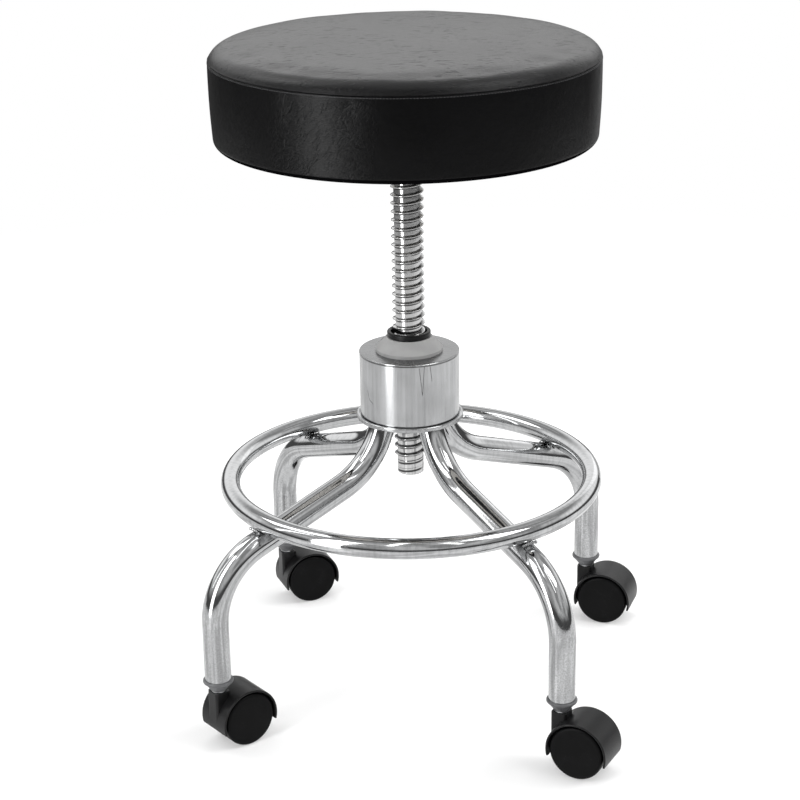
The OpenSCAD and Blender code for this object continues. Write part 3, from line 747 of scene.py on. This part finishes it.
def side_outline(sizes):
    """The cushion's outside from under the seam to the edge of the vinyl turned in."""
    low = SEAT_UNDER + sizes.lower_edge
    foot_r = SEAM_R - sizes.draw
    steps = 14
    points = []
    for i in range(steps):
        share = i / steps
        bulge = sizes.bulge * math.sin(math.pi * share)
        points.append((SEAM_R - sizes.draw * share + bulge, SEAM_Z + (low - SEAM_Z) * share))
    points += arc((foot_r - sizes.lower_edge, low), sizes.lower_edge, 0, -90, 6)
    edge_r = foot_r - sizes.lower_edge - sizes.turn_in
    start_r = points[-1][0]
    points += [(start_r + (edge_r - start_r) * i / 6, SEAT_UNDER) for i in range(1, 7)]
    return points


def seam_outline(sizes):
    """The two rolls of vinyl that meet in the seam's groove."""
    roll = sizes.seam_roll
    upper = arc((SEAM_R - roll, SEAM_Z + roll), roll, 0, -80, 4)
    lower = arc((SEAM_R - roll, SEAM_Z - roll), roll, 80, 0, 4)
    return upper + [(SEAM_R - sizes.seam_depth - roll * 0.2, SEAM_Z)] + lower


def proxy_moves(sizes):
    """Swells a coarse copy of the cushion as cloth that its seam and underside hold: points and moves."""
    top = top_outline(sizes, sizes.slack)
    proxy = lathe("cushion_swell", top + side_outline(sizes) + [(0, SEAT_UNDER)], SWELL_STEPS)
    proxy.data.remesh_voxel_size = sizes.voxel
    bpy.ops.object.voxel_remesh()
    held = proxy.vertex_groups.new(name="held")
    rest = [v.co.copy() for v in proxy.data.vertices]
    for i, point in enumerate(rest):
        at_seam = abs(point.z - SEAM_Z) < 3 * MM and point.xy.length > SEAM_R - 8 * MM
        if at_seam or point.z < SEAT_UNDER + 4 * MM:
            held.add([i], 1.0, "REPLACE")
    bpy.ops.object.modifier_add(type="CLOTH")
    settings = proxy.modifiers[-1].settings
    settings.use_pressure = True
    settings.uniform_pressure_force = sizes.pressure
    settings.effector_weights.gravity = 0
    settings.vertex_group_mass = held.name
    settings.quality = 6
    settings.tension_stiffness = settings.compression_stiffness = CLOTH_STIFFNESS
    settings.bending_stiffness = CLOTH_BENDING
    for step in range(1, CLOTH_FRAMES + 1):
        bpy.context.scene.frame_set(step)
    swollen = proxy.evaluated_get(bpy.context.evaluated_depsgraph_get()).data
    moves = [after.co - before for after, before in zip(swollen.vertices, rest)]
    for move in moves:
        if move.length > sizes.swell_cap:
            move.length = sizes.swell_cap
    bpy.data.objects.remove(proxy)
    bpy.context.scene.frame_set(1)
    return rest, moves


def swell(cushion, sizes, outside):
    """Moves the cushion's outside as the swollen copy moved."""
    rest, moves = proxy_moves(sizes)
    tree = KDTree(len(rest))
    for i, point in enumerate(rest):
        tree.insert(point, i)
    tree.balance()
    for vertex in cushion.data.vertices:
        if not outside(vertex.co):
            continue
        near = tree.find_n(vertex.co, NEIGHBOURS)
        weights = [1 / (gap + EVEN_GAP) for _, _, gap in near]
        move = sum((moves[i] * w for (_, i, _), w in zip(near, weights)), Vector()) / sum(weights)
        vertex.co += move


def wrinkle(cushion, sizes, outside):
    """Puckers beside the seam and pleats in the vinyl under the board."""
    pleat_start = SEAM_R - sizes.draw - sizes.lower_edge
    for vertex in cushion.data.vertices:
        point = vertex.co
        radius, turn = point.xy.length, math.atan2(point.y, point.x)
        if radius < 0.1 or not outside(point):
            continue
        out = Vector((point.x, point.y, 0)) / radius
        below = SEAM_Z - point.z
        if 0 < below < 0.05:
            fade = smooth_step(0, 6 * MM, below) * (1 - smooth_step(10 * MM, 45 * MM, below))
            lump = noise.noise(around(turn) * 11 + UP * point.z * 14)
            vertex.co += out * lump * sizes.pucker * 2 * fade
        if point.z < SEAT_UNDER + MM and radius < pleat_start:
            depth = 1 - smooth_step(pleat_start - 0.8 * sizes.turn_in, pleat_start, radius)
            sway = 1.6 * noise.noise(around(turn) * 3)
            wave = math.sin(sizes.pleats * turn + sway)
            vertex.co.z -= sizes.pleat * max(0.0, wave) ** 2 * depth


class STOOL_OT_cushion(bpy.types.Operator):
    """Model the padded seat: crown, sewn seam, drawn-in band and the vinyl turned in below"""

    bl_idname = "stool.cushion"
    bl_label = "Cushion"

    def execute(self, context):
        sizes = context.scene.stool_seat
        top = top_outline(sizes, sizes.slack)
        outer = top[:-1] + seam_outline(sizes) + side_outline(sizes)[1:]
        edge_r = outer[-1][0]
        low = SEAT_UNDER + sizes.lower_edge
        centre = (SEAM_R - sizes.draw - sizes.lower_edge, low)
        inner = [(edge_r, SEAT_UNDER + sizes.vinyl)]
        inner += arc(centre, sizes.lower_edge - sizes.vinyl, -90, 0, 6)
        inner += [(BOARD_R + 0.2 * MM, BOARD_TOP + 0.3 * MM), (0, BOARD_TOP + 0.3 * MM)]
        cushion = lathe("seat_cushion", outer + inner, CUSHION_STEPS)

        def outside(point):
            """Whether a point is on the cover, and not on the wall of the board's room."""
            in_height = SEAT_UNDER + 0.5 * MM < point.z < BOARD_TOP + MM
            return not (in_height and point.xy.length < BOARD_R + 0.5 * MM)

        swell(cushion, sizes, outside)
        wrinkle(cushion, sizes, outside)
        apply_modifier(cushion, "SUBSURF", levels=1, render_levels=1, use_limit_surface=False)
        shade_smooth(cushion, 60)
        dress(cushion, "black_vinyl")
        cushion.data.materials.append(finish("under_vinyl"))
        for face in cushion.data.polygons:
            if face.center.z < SEAM_Z and face.normal.z < -0.3:
                face.material_index = 1
        ride(cushion, "seat")
        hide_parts("seat_top_panel", "seat_side_band", "seat_foam")
        return {"FINISHED"}


class STOOL_OT_stitches(bpy.types.Operator):
    """Sew a row of stitches just below the seam"""

    bl_idname = "stool.stitches"
    bl_label = "Stitches"

    def execute(self, context):
        sizes = context.scene.stool_seat
        cushion = bpy.data.objects["seat_cushion"]
        deselect()
        bpy.ops.mesh.primitive_uv_sphere_add(segments=6, ring_count=5, radius=sizes.stitch_r)
        pattern = bpy.context.object
        pattern.data.transform(Matrix.Diagonal((0.8, sizes.stitch / sizes.stitch_r / 2, 1, 1)))
        count = round(TURN * SEAM_R / sizes.stitch_pitch)
        stitches = []
        for i in range(count):
            turn = TURN * i / count
            spot = Vector((math.cos(turn) * SEAM_R, math.sin(turn) * SEAM_R, SEAM_Z - sizes.stitch_drop))
            _, foot, normal, _ = cushion.closest_point_on_mesh(spot)
            place = Matrix.Translation(foot + normal * 0.1 * sizes.stitch_r) @ Matrix.Rotation(turn, 4, "Z")
            stitches.append(copy_at(pattern, place))
        bpy.data.objects.remove(pattern)
        row = join("seam_stitches", stitches)
        shade_smooth(row, 80)
        dress(row, "sewing_thread")
        ride(row, "seat")
        return {"FINISHED"}


class STOOL_OT_staples(bpy.types.Operator):
    """Staple the turned-in vinyl to the board"""

    bl_idname = "stool.staples"
    bl_label = "Staples"

    def execute(self, context):
        sizes = context.scene.stool_seat
        wire = sizes.staple_wire
        deselect()
        bpy.ops.mesh.primitive_cube_add(size=1)
        pattern = bpy.context.object
        pattern.data.transform(Matrix.Diagonal((1.5 * wire, sizes.staple, wire, 1)))
        apply_modifier(pattern, "BEVEL", width=0.3 * wire, segments=2)
        edge_r = SEAM_R - sizes.draw - sizes.lower_edge - sizes.turn_in
        staples = []
        for i in range(sizes.staples):
            turn = TURN * (i + 0.5 + 0.16 * noise.noise(Vector((i * 1.7, 0.3, 0)))) / sizes.staples
            lean = 0.25 * noise.noise(Vector((i * 2.3, 5.1, 0)))
            out = edge_r + 8 * MM + 2 * MM * noise.noise(Vector((i * 0.9, 9.4, 0)))
            spot = Matrix.Rotation(turn, 4, "Z") @ Matrix.Translation((out, 0, SEAT_UNDER - 0.3 * wire))
            staples.append(copy_at(pattern, spot @ Matrix.Rotation(lean, 4, "Z")))
        bpy.data.objects.remove(pattern)
        row = join("staples", staples)
        shade_smooth(row, 40)
        dress(row, "zinc_steel")
        ride(row, "seat")
        return {"FINISHED"}


class STOOL_OT_screw(bpy.types.Operator):
    """Wind the ridge of the lift screw and finish the spindle"""

    bl_idname = "stool.screw"
    bl_label = "Lift screw"

    def execute(self, context):
        sizes = context.scene.stool_metal
        start_z = RIDGE_LOW + sizes.ridge_foot / 2
        turns = (RIDGE_HIGH - RIDGE_LOW - sizes.ridge_foot) / sizes.pitch
        foot, crest = sizes.ridge_foot / 2, sizes.ridge_crest / 2
        sunk_r = SPINDLE_R - 0.4 * MM
        crest_r = SPINDLE_R + sizes.ridge - crest
        outline = [(sunk_r, -foot), (SPINDLE_R, -foot), (SPINDLE_R + 0.5 * MM, -0.85 * foot)]
        outline += arc((crest_r, 0), crest, -75, 75, 6)
        outline += [(SPINDLE_R + 0.5 * MM, 0.85 * foot), (SPINDLE_R, foot), (sunk_r, foot)]
        ridge = draw_line("screw_ridge", [(r, z + start_z) for r, z in outline])
        bpy.ops.mesh.select_all(action="SELECT")
        bpy.ops.mesh.edge_face_add()
        bpy.ops.mesh.delete(type="ONLY_FACE")
        bpy.ops.object.mode_set(mode="OBJECT")
        steps = round(turns * RIDGE_STEPS)
        apply_modifier(
            ridge, "SCREW", axis="Z", angle=turns * TURN, screw_offset=turns * sizes.pitch,
            steps=steps, render_steps=steps, use_smooth_shade=True,
        )
        for vertex in ridge.data.vertices:
            self.grind(vertex, start_z, turns, sizes)
        mend(bpy.ops.mesh.fill_holes, sides=0)
        shade_smooth(ridge, 50)
        dress(ridge, "screw_steel")
        ride(ridge, "seat")
        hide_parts("spindle_thread")
        dress_nodes("spindle_tube", "spindle_weld")
        return {"FINISHED"}

    @staticmethod
    def grind(vertex, start_z, turns, sizes):
        """Lowers the ridge where it is ground away, and where it runs out at its upper end."""
        radius = vertex.co.xy.length
        part = math.atan2(vertex.co.y, vertex.co.x) / TURN % 1
        turn = part + round((vertex.co.z - start_z) / sizes.pitch - part)
        keep = smooth_step(sizes.ground_turns - 0.1, sizes.ground_turns + 0.15, turn)
        keep = min(keep, smooth_step(turns, turns - 0.2, turn))
        left = sizes.ground / sizes.ridge
        if radius > SPINDLE_R:
            new_radius = SPINDLE_R + (radius - SPINDLE_R) * (left + (1 - left) * keep)
            vertex.co.x *= new_radius / radius
            vertex.co.y *= new_radius / radius


class STOOL_OT_welds(bpy.types.Operator):
    """Lay the beads of weld between the foot ring and the legs"""

    bl_idname = "stool.welds"
    bl_label = "Welds"

    def execute(self, context):
        sizes = context.scene.stool_metal
        beads = []
        for leg in LEGS:
            out = leg_direction(leg)
            across = Vector((-out.y, out.x, 0))
            centre = crossing(leg)
            for side in (-1, 1):
                for i in range(BEAD_DROPS):
                    share = i / (BEAD_DROPS - 1) * 2 - 1
                    spot = centre + across * share * sizes.bead_reach
                    spot += out * side * (BEAD_OUT + BEAD_BOW * share * share) - UP * BEAD_SINK
                    size = sizes.bead * (1 + 0.35 * noise.noise(Vector((leg * 3.1 + i, side * 2.7, 0.5))))
                    deselect()
                    bpy.ops.mesh.primitive_ico_sphere_add(subdivisions=3, radius=size, location=spot)
                    beads.append(bpy.context.object)
        weld = join("ring_weld_beads", beads)
        bpy.ops.object.transform_apply(location=True, rotation=True, scale=True)
        weld.data.remesh_voxel_size = 0.55 * MM
        bpy.ops.object.voxel_remesh()
        apply_modifier(weld, "SMOOTH", factor=0.5, iterations=4)
        shade_smooth(weld, 80)
        dress(weld, "weld")
        ride(weld, "base")
        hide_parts("ring_welds")
        return {"FINISHED"}


class STOOL_OT_seat_fittings(bpy.types.Operator):
    """Finish the board, the plate and the fasteners under the seat"""

    bl_idname = "stool.seat_fittings"
    bl_label = "Seat fittings"

    def execute(self, context):
        dress_nodes("seat_board", "seat_plate", "seat_neck", "seat_bolts", "tee_nuts")
        return {"FINISHED"}


class STOOL_OT_hub(bpy.types.Operator):
    """Finish the drum, the dish, the bush, the wiper ring and the threaded sleeve"""

    bl_idname = "stool.hub"
    bl_label = "Hub"

    def execute(self, context):
        dress_nodes(
            "hub_shell", "hub_dish", "hub_welds", "top_bush", "wiper_ring", "nut_sleeve", "nut_thread"
        )
        return {"FINISHED"}


class STOOL_OT_tubes(bpy.types.Operator):
    """Finish the legs and the foot ring"""

    bl_idname = "stool.tubes"
    bl_label = "Legs and ring"

    def execute(self, context):
        dress_nodes("foot_ring", *[f"leg_{leg}" for leg in LEGS])
        return {"FINISHED"}


class STOOL_OT_casters(bpy.types.Operator):
    """Finish the sockets, stems, hoods and wheels"""

    bl_idname = "stool.casters"
    bl_label = "Casters"

    def execute(self, context):
        for leg in LEGS:
            for part in ("caster_socket", "caster_stem", "grip_ring", "caster_hood", "caster_axle"):
                dress_nodes(f"{part}_{leg}")
            dress_nodes(*[f"wheel_{leg}_{side}" for side in SIDES])
        return {"FINISHED"}


# Stage


def look_from(azimuth, elevation):
    """The direction from the stool to a place at that azimuth and elevation."""
    flat = math.cos(elevation)
    return Vector((math.sin(azimuth) * flat, -math.cos(azimuth) * flat, math.sin(elevation)))


def aim(thing, target, roll=0.0):
    """Turns a camera or a lamp to a target, and rolls it to the right."""
    turn = (target - thing.location).to_track_quat("-Z", "Y").to_matrix()
    thing.rotation_euler = (turn @ Matrix.Rotation(-roll, 3, "Z")).to_euler()


def lamp(name, azimuth, distance, height, width, tall, power, target_z=0.3, matte=True, shiny=True):
    """A soft box round the stool, unseen by the camera; it may skip matte or shiny skins."""
    spot = look_from(math.radians(azimuth), 0) * distance + UP * height
    bpy.ops.object.light_add(type="AREA", location=spot)
    box = bpy.context.object
    box.name = name
    box.data.shape = "RECTANGLE"
    box.data.size, box.data.size_y = width, tall
    box.data.energy = power
    box.visible_camera = False
    box.visible_diffuse, box.visible_glossy = matte, shiny
    aim(box, UP * target_z)


class STOOL_OT_stage(bpy.types.Operator):
    """Set up the floor, the white studio, the lamps and the camera"""

    bl_idname = "stool.stage"
    bl_label = "Studio"

    def execute(self, context):
        studio = context.scene.stool_studio
        self.floor(context, studio)
        self.world(context, studio)
        facing = math.degrees(studio.azimuth)
        lamp("strip_left", facing - 46, 1.0, 0.72, 0.30, 1.5, 9.5, 0.6)
        lamp("box_right", facing + 70, 1.3, 2.0, 0.8, 1.0, 15)
        lamp("box_left", facing - 110, 1.3, 1.9, 0.6, 1.0, 8)
        lamp("box_above", facing + 160, 0.5, 2.2, 1.3, 1.3, 20, shiny=False)
        lamp("shadow_right", facing + 95, 2.2, 1.3, 1.2, 0.5, 30, 0.05, shiny=False)
        lamp("strip_behind", facing + 150, 1.2, 0.5, 0.3, 1.0, 0.4, 0.4)
        lamp("glint_left", facing - 80, 1.4, 1.1, 0.10, 1.2, 1.2, matte=False)
        lamp("glint_right", facing + 30, 1.2, 1.7, 0.12, 1.0, 1.2, matte=False)
        lamp("glint_front", facing - 15, 0.8, 1.9, 0.12, 1.2, 1.5, matte=False)
        self.camera(context, studio)
        context.scene.view_settings.view_transform = "Standard"
        return {"FINISHED"}

    @staticmethod
    def floor(context, studio):
        """A pale floor that the camera sees as white, but for the shadows near the stool."""
        deselect()
        bpy.ops.mesh.primitive_circle_add(
            vertices=96, radius=studio.floor_r, fill_type="TRIFAN", location=(0, 0, -0.2 * MM)
        )
        floor = bpy.context.object
        floor.name = "floor"
        paint = Paint(bpy.data.materials.new("floor"))
        x, y, _ = paint.parts(paint.place())
        away = (x * x + y * y) ** 0.5
        camera, glossy = paint.rays()
        colour = context.scene.stool_colours.floor
        ground = paint.mix(away.between(LIT_R, DARK_R), colour, shade(colour, 0.10))
        matte = paint.node("ShaderNodeBsdfDiffuse", {}, ground)
        sheen = paint.node("ShaderNodeBsdfGlossy", {}, (*colour, 1), 0.25)
        mirrored = paint.node("ShaderNodeMixShader", {}, glossy * 0.15, matte, sheen)
        # Only reflections see the light and dark patches
        patches = paint.mix(paint.noise(7, 1).between(0.40, 0.60), (0.42, 0.42, 0.42), (0.95, 0.95, 0.95))
        glow = paint.node("ShaderNodeEmission", {}, paint.mix(glossy, (1, 1, 1), patches), 1.35)
        white = (0.24 + away.between(0.6 * studio.bare_r, studio.bare_r) * 0.76) * camera
        white = white.most(glossy * away.between(DARK_R, LIT_R) * 0.55)
        floor.data.materials.append(paint.end(paint.node("ShaderNodeMixShader", {}, white, mirrored, glow)))

    @staticmethod
    def world(context, studio):
        """White for the camera; reflections show a backdrop behind the stool and a cloudy ceiling."""
        world = bpy.data.worlds.new("studio")
        context.scene.world = world
        paint = Paint(world)
        toward = paint.node("ShaderNodeTexCoord", output="Generated")
        away = -look_from(studio.azimuth, 0)
        behind = paint.vector("DOT_PRODUCT", toward, away, output="Value")
        height = paint.parts(toward)[2]
        backdrop = behind.between(-0.10, 0.30) * height.between(0.04, 0.20)
        backdrop = backdrop * height.between(0.75, 0.34) * 1.35
        clouds = paint.noise(2.6, 2, toward).between(0.42, 0.60)
        ceiling = height.between(0.0, 0.30) * (0.42 + clouds * 0.42)
        room = backdrop.most(ceiling).most(0.10)
        camera, glossy = paint.rays()
        level = camera.most(glossy * room + (1 - glossy) * 0.42)
        light = paint.node("ShaderNodeBackground", {}, (1, 1, 1, 1), level)
        paint.node("ShaderNodeOutputWorld", {}, light)

    @staticmethod
    def camera(context, studio):
        """The camera that the photo was taken from, as fitted to its outlines."""
        target = UP * studio.target_z
        spot = target + look_from(studio.azimuth, studio.elevation) * studio.distance
        bpy.ops.object.camera_add(location=spot)
        camera = bpy.context.object
        camera.name = "camera"
        camera.data.lens = studio.lens
        camera.data.shift_x, camera.data.shift_y = studio.shift_x, studio.shift_y
        aim(camera, target, studio.roll)
        context.scene.camera = camera


OPERATORS = (
    STOOL_OT_stage,
    STOOL_OT_cushion,
    STOOL_OT_stitches,
    STOOL_OT_staples,
    STOOL_OT_screw,
    STOOL_OT_welds,
    STOOL_OT_seat_fittings,
    STOOL_OT_hub,
    STOOL_OT_tubes,
    STOOL_OT_casters,
)


class STOOL_PT_sidebar(bpy.types.Panel):
    """The stool's pieces and their sizes"""

    bl_idname = "STOOL_PT_sidebar"
    bl_label = "Dentist Stool"
    bl_space_type = "VIEW_3D"
    bl_region_type = "UI"
    bl_category = "Stool"

    def draw(self, context):
        for operator in OPERATORS:
            self.layout.operator(operator.bl_idname)
        for group in GROUPS:
            settings = getattr(context.scene, group)
            for name in settings.bl_rna.properties.keys():
                if name not in ("rna_type", "name"):
                    self.layout.prop(settings, name)


GROUPS = {
    "stool_seat": SeatSizes,
    "stool_metal": MetalSizes,
    "stool_colours": Colours,
    "stool_studio": Studio,
}
CLASSES = (*GROUPS.values(), *OPERATORS, STOOL_PT_sidebar)


def register():
    for cls in CLASSES:
        bpy.utils.register_class(cls)
    for name, group in GROUPS.items():
        setattr(bpy.types.Scene, name, bpy.props.PointerProperty(type=group))


def unregister():
    for name in GROUPS:
        delattr(bpy.types.Scene, name)
    for cls in reversed(CLASSES):
        bpy.utils.unregister_class(cls)


def main():
    register()
    for operator in OPERATORS:
        group, name = operator.bl_idname.split(".")
        getattr(getattr(bpy.ops, group), name)()


if __name__ == "__main__":
    main()
